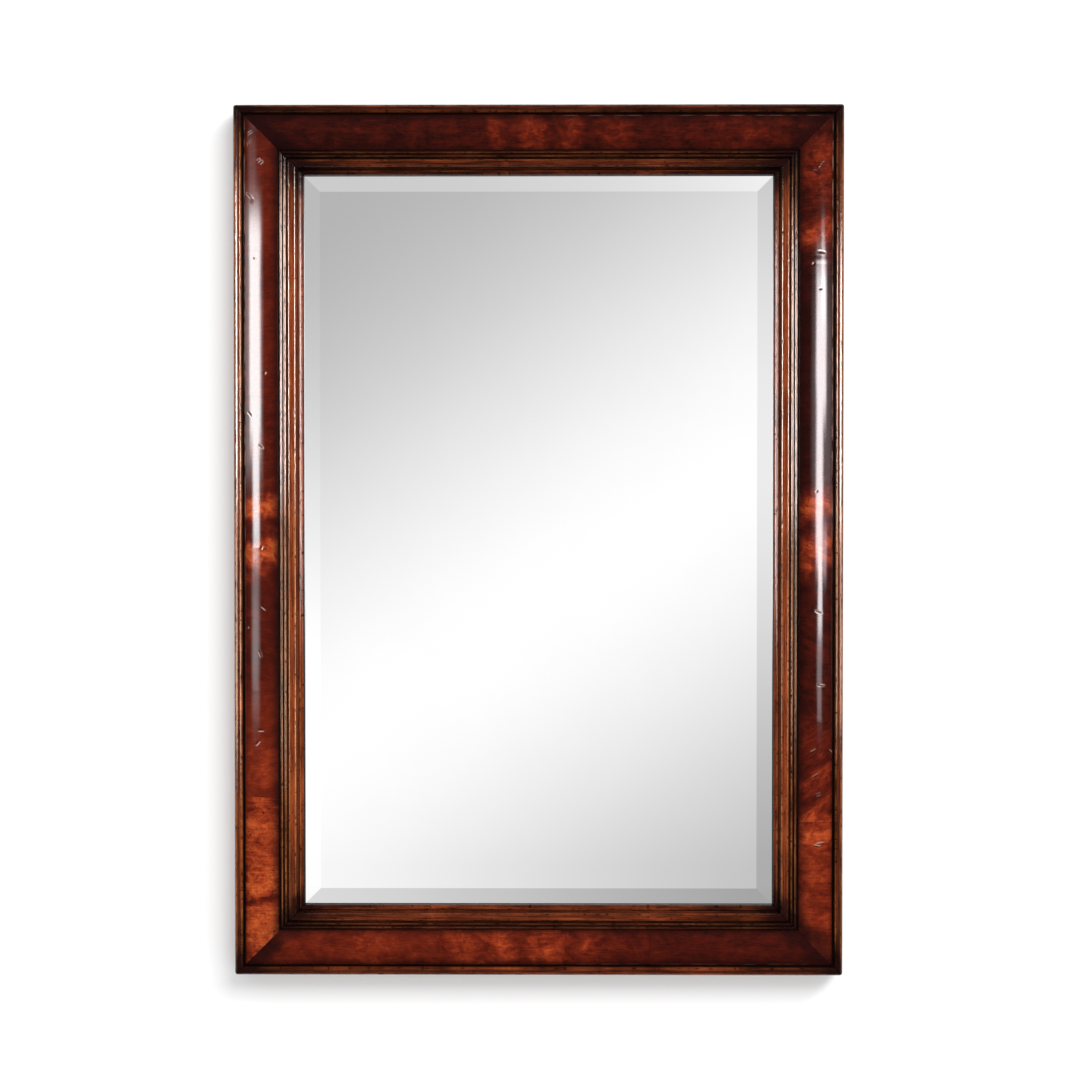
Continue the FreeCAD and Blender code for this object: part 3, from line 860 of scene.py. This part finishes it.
def mirror_material():
    """Silvered glass with a trace of dust."""
    recipe = Recipe("mirror_glass")
    place = recipe.place()
    cloud = recipe.noise(place, (9, 9, 9), 4.0, 0.6)
    dust = recipe.noise(place, (900, 900, 900), 1.0, 0.5)
    tint = recipe.ramp(cloud, ((0.3, (0.93, 0.932, 0.93)), (0.7, (0.945, 0.946, 0.944))))
    smears = recipe.span(cloud, 0.3, 0.7, 0.005, 0.015)
    roughness = recipe.sum((smears, 1.0), (recipe.span(dust, 0.72, 0.8), 0.05))
    return recipe.surface(tint, roughness, Metallic=1.0)


# Where, in metres in front of the wall, the stain of the frame's front begins and is full
STAIN = (-0.028, -0.030)


def pine_material(name, pale, dark, upright):
    """Planed wood, its grain up or along, stained dark in the groove that shows beside the cushion."""
    recipe = Recipe(name)
    place = recipe.place()

    def scale(across, along):
        return (across, across, along) if upright else (along, across, across)

    rings = recipe.noise(place, scale(120, 5), 4.0, 0.6, 0.8)
    fibres = recipe.noise(place, scale(900, 30), 2.0, 0.6)
    wood = recipe.ramp(recipe.sum((rings, 0.7), (fibres, 0.3)), ((0.34, pale), (0.48, pale), (0.68, dark)))
    stained = recipe.mix(recipe.span(recipe.parts(place)["Y"], *STAIN), wood, WAX)
    relief = recipe.bump(recipe.sum((rings, 0.5), (fibres, 0.5)), 0.0002, 0.5)
    return recipe.surface(stained, recipe.span(rings, 0.3, 0.7, 0.55, 0.75), Normal=relief)


def plywood_material():
    """Sanded plywood with its face grain upright, a little grubby."""
    recipe = Recipe("plywood")
    place = recipe.place()
    waves = recipe.noise(place, (46, 46, 2.4), 5.0, 0.6, 1.0)
    fibres = recipe.noise(place, (900, 900, 16), 2.0, 0.6)
    grime = recipe.noise(place, (7, 7, 7), 4.0, 0.6)
    wood = recipe.ramp(recipe.sum((waves, 0.6), (fibres, 0.4)), (
        (0.34, linear(216, 180, 132)), (0.5, linear(202, 163, 114)), (0.62, linear(178, 135, 88)),
    ))
    aged = recipe.mix(recipe.span(grime, 0.5, 0.75, 0.0, 0.2), wood, opaque(120, 88, 58))
    roughness = recipe.span(waves, 0.3, 0.7, 0.6, 0.75)
    return recipe.surface(aged, roughness, Normal=recipe.bump(fibres, 0.00015, 0.5))


def plated_material(name, bright, dull):
    """Zinc-plated steel, cloudy and finely scratched."""
    recipe = Recipe(name)
    place = recipe.place()
    cloud = recipe.noise(place, (160, 160, 160), 4.0, 0.65)
    scratches = recipe.noise(place, (2400, 300, 120), 2.0, 0.6)
    colour = recipe.ramp(cloud, ((0.35, dull), (0.65, bright)))
    roughness = recipe.sum((recipe.span(cloud, 0.3, 0.7, 0.34, 0.22), 1.0), (scratches, 0.16))
    return recipe.surface(colour, roughness, Normal=recipe.bump(scratches, 0.00004, 0.6), Metallic=1.0)


def soft_material(name, pale, dark, size, relief):
    """Felt or rubber: a mottled matt surface."""
    recipe = Recipe(name)
    mottle = recipe.noise(recipe.place(), (size, size, size), 4.0, 0.7)
    colour = recipe.ramp(mottle, ((0.35, dark), (0.65, pale)))
    roughness = recipe.span(mottle, 0.3, 0.7, 0.75, 0.95)
    return recipe.surface(colour, roughness, Normal=recipe.bump(mottle, relief, 0.8))


# The mouldings' meshes: name, section, millimetres between stations, and the CAD node they replace
MEMBERS = (
    ("bead", bead_loop, 3.5, "outer_bead"),
    ("edge", bead_side_loop, 3.5, "outer_bead"),
    ("reeds", moulding_loop, 3.0, "inner_moulding"),
    ("slip", slip_loop, 4.0, "sight_slip"),
)


def place_mouldings():
    """Dress all that shows from the front but the glass, in place of its CAD nodes."""
    moulding = moulding_material()
    veneer = veneer_material()
    pieces = []
    for side in SIDES:
        for name, section, step, node in MEMBERS:
            ending = "_" + side.name
            pieces.append(moulded_side(name + ending, side, section(), step, moulding, node + ending))
        pieces.append(veneer_side(side, veneer))
    return pieces


def dress(material, *starts):
    """Give a material to every CAD node whose name starts with one of some words."""
    for name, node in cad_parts.items():
        if name.startswith(starts):
            node.data.materials.clear()
            node.data.materials.append(material)


# Camera, as measured on the photograph: how many of its pixels the frame spans, and how its sides converge
PHOTO_PIXELS = 1080.0
FRAME_PIXELS = 609.5
LENS = 85.0
SENSOR = 36.0
CAMERA_AZIMUTH = math.radians(0.5)
CAMERA_ELEVATION = math.radians(1.19)
CAMERA_TARGET = Vector((0.0020, -0.038, 0.0015))


def add_camera():
    data = bpy.data.cameras.new("camera")
    data.lens = LENS
    data.sensor_width = SENSOR
    camera = new_object("camera", data)
    distance = FRAME_WIDTH * MM * PHOTO_PIXELS * LENS / SENSOR / FRAME_PIXELS
    back = Vector((
        math.sin(CAMERA_AZIMUTH) * math.cos(CAMERA_ELEVATION),
        -math.cos(CAMERA_AZIMUTH) * math.cos(CAMERA_ELEVATION),
        math.sin(CAMERA_ELEVATION),
    ))
    camera.location = CAMERA_TARGET + back * distance
    camera.rotation_euler = (-back).to_track_quat("-Z", "Y").to_euler()
    bpy.context.scene.camera = camera


def add_area(name, place, size, power, aim=(0, 0, 0), glossy=False):
    """A rectangular lamp that the camera doesn't see, for the shine of pieces or for all but their shine."""
    data = bpy.data.lights.new(name, "AREA")
    data.shape = "RECTANGLE"
    data.size, data.size_y = size
    data.energy = power
    lamp = new_object(name, data)
    lamp.location = place
    lamp.rotation_euler = (Vector(aim) - Vector(place)).to_track_quat("-Z", "Y").to_euler()
    lamp.visible_camera = False
    lamp.visible_glossy = glossy
    lamp.visible_diffuse = not glossy
    return lamp


# Light from all around, and how bright it is where the camera or a reflection sees it
AMBIENT = 0.72
BACKDROP = 1.0
WHITE = (1.0, 1.0, 1.0, 1.0)


def add_world():
    """Even studio light, which the camera and reflections see as a plain white."""
    world = bpy.data.worlds.new("studio")
    bpy.context.scene.world = world
    recipe = Recipe(world, "Background")
    path = recipe.node("LightPath").outputs
    shown = path["Is Camera Ray"]
    for kind in ("Is Glossy Ray", "Is Transmission Ray"):
        shown = recipe.math("MAXIMUM", shown, path[kind])
    recipe.fill(recipe.shader, Color=WHITE, Strength=recipe.span(shown, 0.0, 1.0, AMBIENT, BACKDROP))


def plain_object(name, points, faces):
    mesh = bpy.data.meshes.new(name)
    mesh.from_pydata(points, [], faces)
    return new_object(name, mesh)


def square(half):
    """Corners of an upright square about the middle, as x and z."""
    return [(-half, -half), (half, -half), (half, half), (-half, half)]


# The wall: half its width and its distance behind the pads in metres, its grey, which is also how rough it
# is, and a little light of its own
WALL_HALF = 4.0
WALL_Y = 0.0003
WALL_GREY = 0.9
WALL_GLOW = 0.13

# How far light that leaves the mirror's back goes before the wall would stop it
BACK_REACH = 0.03


def add_wall():
    """The pale wall behind the mirror. From behind it isn't there, so the mirror's back shows and is lit."""
    wall = plain_object("wall", [(x, WALL_Y, z) for x, z in square(WALL_HALF)], [(0, 1, 2, 3)])
    recipe = Recipe("wall")
    recipe.surface(
        (WALL_GREY, WALL_GREY, WALL_GREY, 1.0), WALL_GREY, Specular_IOR_Level=0.0, Emission_Color=WHITE,
        Emission_Strength=WALL_GLOW,
    )
    close = recipe.math("LESS_THAN", recipe.node("LightPath").outputs["Ray Length"], BACK_REACH)
    behind = recipe.math("MAXIMUM", recipe.node("NewGeometry").outputs["Backfacing"], close)
    clear = recipe.node("BsdfTransparent")
    mixed = recipe.node("MixShader")
    recipe.fill(mixed, behind, recipe.shader.outputs[0], clear.outputs[0])
    recipe.show(mixed)
    wall.data.materials.append(recipe.owner)
    return wall


# What the glass reflects, as screen levels on a wall ahead of it: palest along a slanting band, and darker
# to both sides. FALL is how many steps a metre to the right and a metre up take, FALL_START the step where
# the band lies, and FALL_DEPTH how many levels are lost in FALL_REACH steps away from it.
DOME_FRONT = -3.9
DOME_SIDE = 4.5
PALEST = 255.0
FALL = (197.6, -300.0)
FALL_START = 72.5
FALL_REACH = 480.0
FALL_DEPTH = 76.0

# The part of that wall which the flat of the glass shows, as half its width and height in metres, and the
# parts which its bevels show: axis, where along it they begin and are full, and how many levels paler
FIELD_HALF = (0.66, 0.99)
BEVELS = (
    ("X", -0.70, -0.95, 7.0), ("X", 0.70, 0.95, -19.0), ("Z", 1.06, 1.35, 24.0), ("Z", -1.06, -1.35, -30.0),
)
SCREEN_GAMMA = 2.25
GLASS_REFLECTS = 0.935


def clamped(recipe, value, limit):
    return recipe.math("MAXIMUM", recipe.math("MINIMUM", value, limit), -limit)


def dome_level(recipe):
    """The screen level of a place on the dome."""
    place = recipe.parts(recipe.place())
    sideways = clamped(recipe, place["X"], FIELD_HALF[0])
    upwards = clamped(recipe, place["Z"], FIELD_HALF[1])
    across = recipe.sum((sideways, FALL[0]), (upwards, FALL[1]), (1.0, -FALL_START))
    drop = recipe.span(recipe.math("ABSOLUTE", across), 0.0, FALL_REACH, 0.0, FALL_DEPTH, "SMOOTHSTEP")
    lifts = [(recipe.span(place[axis], begin, full), lift) for axis, begin, full, lift in BEVELS]
    return recipe.sum((drop, -1.0), (recipe.sum(*lifts), 1.0), (1.0, PALEST))


def add_dome(mirror):
    """Pale studio walls for the glass alone to reflect."""
    rim = square(DOME_SIDE)
    points = [(x, DOME_FRONT, z) for x, z in rim] + [(x, 0.0, z) for x, z in rim]
    faces = [(0, 1, 2, 3)] + [(k, (k + 1) % 4, (k + 1) % 4 + 4, k + 4) for k in range(4)]
    dome = plain_object("dome", points, faces)
    recipe = Recipe("dome")
    level = recipe.math("POWER", recipe.math("DIVIDE", dome_level(recipe), SCREEN_WHITE), SCREEN_GAMMA)
    light = recipe.node("Emission")
    recipe.fill(light, Strength=recipe.math("DIVIDE", level, GLASS_REFLECTS))
    recipe.show(light)
    dome.data.materials.append(recipe.owner)
    dome.visible_camera = False
    dome.visible_diffuse = False
    dome.visible_shadow = False
    dome.light_linking.receiver_collection = group("dome_lights", [mirror])


def group(name, pieces):
    collection = bpy.data.collections.new(name)
    for piece in pieces:
        collection.objects.link(piece)
    return collection


# Soft-edged lamps that make the sheen on the uprights, close in front of each: which upright, how far
# round they stand, in degrees from straight ahead to its outer side, how high in metres, how bright, and
# the share of their width and of their height over which they fade at each edge
Sheen = collections.namedtuple("Sheen", "side near far low high glow fade rise")
SHEEN_DISTANCE = 0.35
SHEEN_MIDDLE = Vector((0.347, -0.04, 0.0))
CUSHION_SHEEN = (
    (-1, 0, 64, 0.10, 0.47, 25.0, 0.26, 0.15), (-1, 8, 48, -0.055, 0.16, 24.0, 0.3, 0.3),
    (-1, 6, 56, -0.30, 0.02, 5.5, 0.4, 0.45), (-1, 16, 70, 0.38, 0.58, 1.5, 0.4, 0.3),
    (1, -2, 55, 0.13, 0.405, 27.0, 0.25, 0.25), (1, -2, 40, -0.07, 0.20, 26.0, 0.3, 0.25),
    (1, 20, 46, 0.28, 0.45, 16.0, 0.4, 0.4), (1, 30, 58, -0.075, 0.03, 9.0, 0.4, 0.35),
    (1, 10, 36, -0.15, -0.01, 24.0, 0.3, 0.25), (1, 6, 36, -0.262, -0.12, 5.0, 0.3, 0.08),
    (-1, -10, 88, 0.05, 0.50, 4.0, 0.25, 0.15), (1, -24, 84, -0.08, 0.44, 2.2, 0.3, 0.35),
)
BEAD_SHEEN = (
    (-1, 10, 56, 0.0, 0.52, 44.0, 0.2, 0.2), (-1, -88, -58, 0.0, 0.54, 46.0, 0.2, 0.2),
    (1, 6, 60, -0.04, 0.46, 44.0, 0.2, 0.25), (1, -88, -58, -0.04, 0.48, 46.0, 0.2, 0.25),
)
REED_SHEEN = (
    (-1, 22, 76, 0.0, 0.52, 54.0, 0.2, 0.2), (-1, -86, -40, 0.0, 0.54, 48.0, 0.2, 0.2),
    (1, 22, 76, -0.04, 0.46, 50.0, 0.2, 0.25), (1, -86, -40, -0.04, 0.48, 54.0, 0.2, 0.25),
)
LOW_SHEEN = (
    (-1, 22, 76, -0.38, 0.10, 12.0, 0.2, 0.3), (-1, -86, -40, -0.40, 0.10, 12.0, 0.2, 0.3),
    (1, 22, 76, -0.32, 0.10, 11.0, 0.2, 0.3), (1, -86, -40, -0.34, 0.10, 11.0, 0.2, 0.3),
)
SLIP_SHEEN = (
    (-1, -46, -26, -0.12, 0.52, 36.0, 0.3, 0.2), (-1, -4, 24, -0.12, 0.52, 9.0, 0.3, 0.2),
    (-1, -88, -50, -0.20, 0.52, 4.0, 0.3, 0.2), (-1, -26, -4, -0.20, 0.52, 9.0, 0.3, 0.2),
    (1, -68, -50, -0.12, 0.46, 36.0, 0.3, 0.2), (1, -4, 24, -0.12, 0.46, 9.0, 0.3, 0.2),
    (1, -88, -66, -0.20, 0.46, 4.0, 0.3, 0.2), (1, -50, -4, -0.20, 0.46, 12.0, 0.3, 0.2),
)

# Colours of the lamps on each kind of piece
CUSHION_LIGHT = {"left": (0.93, 0.99, 1.0), "right": (0.985, 0.925, 0.95)}
BEAD_LIGHT = (1.0, 0.93, 0.86)
REED_LIGHT = (1.0, 0.95, 0.93)
LOW_LIGHT = (1.0, 0.80, 0.60)
SLIP_LIGHT = (1.0, 0.93, 0.92)

# The key lamp, and a lamp for the wall's shadow alone: place and size in metres, and power
KEY = ((3.3, -6.0, 4.6), (5.3, 4.0), 430.0)
WALL_KEY = ((3.0, -2.0, 2.6), (1.5, 1.5), 60.0)


def faded(recipe, share, fade):
    """1 in the middle of a lamp and 0 at two of its edges, for a place across it from 0 to 1."""
    off_middle = recipe.math("ABSOLUTE", recipe.math("SUBTRACT", share, 0.5))
    return recipe.span(off_middle, 0.5, 0.5 - fade, 0.0, 1.0, "SMOOTHSTEP")


def add_sheen(sheen, lit, colour):
    angle = math.radians((sheen.near + sheen.far) / 2)
    width = 2 * SHEEN_DISTANCE * math.tan(math.radians((sheen.far - sheen.near) / 2))
    height = sheen.high - sheen.low
    aim = Vector((sheen.side * SHEEN_MIDDLE.x, SHEEN_MIDDLE.y, (sheen.low + sheen.high) / 2))
    place = aim + SHEEN_DISTANCE * Vector((sheen.side * math.sin(angle), -math.cos(angle), 0))
    power = sheen.glow * width * height * math.pi
    lamp = add_area("sheen", place, (width, height), power, aim, True)
    lamp.data.color = colour
    recipe = Recipe(lamp.data, "Emission")
    across = recipe.parts(recipe.node("NewGeometry").outputs["Parametric"])
    sideways = faded(recipe, across["X"], sheen.fade)
    upright = faded(recipe, across["Y"], sheen.rise)
    seen = recipe.math("LESS_THAN", recipe.node("LightPath").outputs["Diffuse Depth"], 0.5)
    strength = recipe.product(recipe.product(sideways, upright), seen)
    recipe.fill(recipe.shader, Strength=strength)
    lamp.light_linking.receiver_collection = lit


def add_lights(woods, wall):
    add_area("key", *KEY)
    wall_lamp = add_area("wall_key", *WALL_KEY)
    wall_lamp.light_linking.receiver_collection = group("wall_lights", [wall])
    for hand, sign in (("left", -1), ("right", 1)):
        lit_kinds = (
            (("veneer",), CUSHION_SHEEN, CUSHION_LIGHT[hand]),
            (("bead",), BEAD_SHEEN, BEAD_LIGHT),
            (("reeds",), REED_SHEEN, REED_LIGHT),
            (("bead", "reeds"), LOW_SHEEN, LOW_LIGHT),
            (("slip",), SLIP_SHEEN, SLIP_LIGHT),
        )
        for kinds, rows, colour in lit_kinds:
            names = [kind + "_" + hand for kind in kinds]
            lit = group("sheen_on_" + "_".join(names), [piece for piece in woods if piece.name in names])
            for sheen in (Sheen(*row) for row in rows):
                if sheen.side == sign:
                    add_sheen(sheen, lit, colour)


def dress_nodes():
    """Give materials to the CAD nodes that nothing replaces."""
    pine = (linear(220, 184, 134), linear(178, 130, 80))
    upright = ("cushion_ground_left", "cushion_ground_right", "setting_blocks")
    dress(mirror_material(), "mirror_plate")
    dress(pine_material("ground_pine", *pine, True), *upright)
    dress(pine_material("rail_pine", *pine, False), "cushion_ground_top", "cushion_ground_bottom")
    dress(pine_material("spline_beech", linear(210, 172, 136), linear(182, 138, 100), True), "mitre_spline")
    dress(plywood_material(), "backboard")
    dress(plated_material("hanger_steel", (0.66, 0.66, 0.64), (0.5, 0.5, 0.5)), "hanger_strap", "d_ring")
    yellow = plated_material("screw_steel", (0.66, 0.58, 0.38), (0.5, 0.42, 0.28))
    dress(yellow, "backboard_screws", "hanger_screws")
    dress(soft_material("felt", linear(66, 66, 70), linear(40, 40, 44), 1500, 0.0004), "backing_felt")
    dress(soft_material("pad_rubber", linear(44, 44, 44), linear(26, 26, 27), 500, 0.0001), "wall_pad")


woods = place_mouldings()
dress_nodes()
add_camera()
add_world()
wall = add_wall()
add_dome(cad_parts["mirror_plate"])
add_lights(woods, wall)
bpy.context.scene.view_settings.view_transform = "Standard"
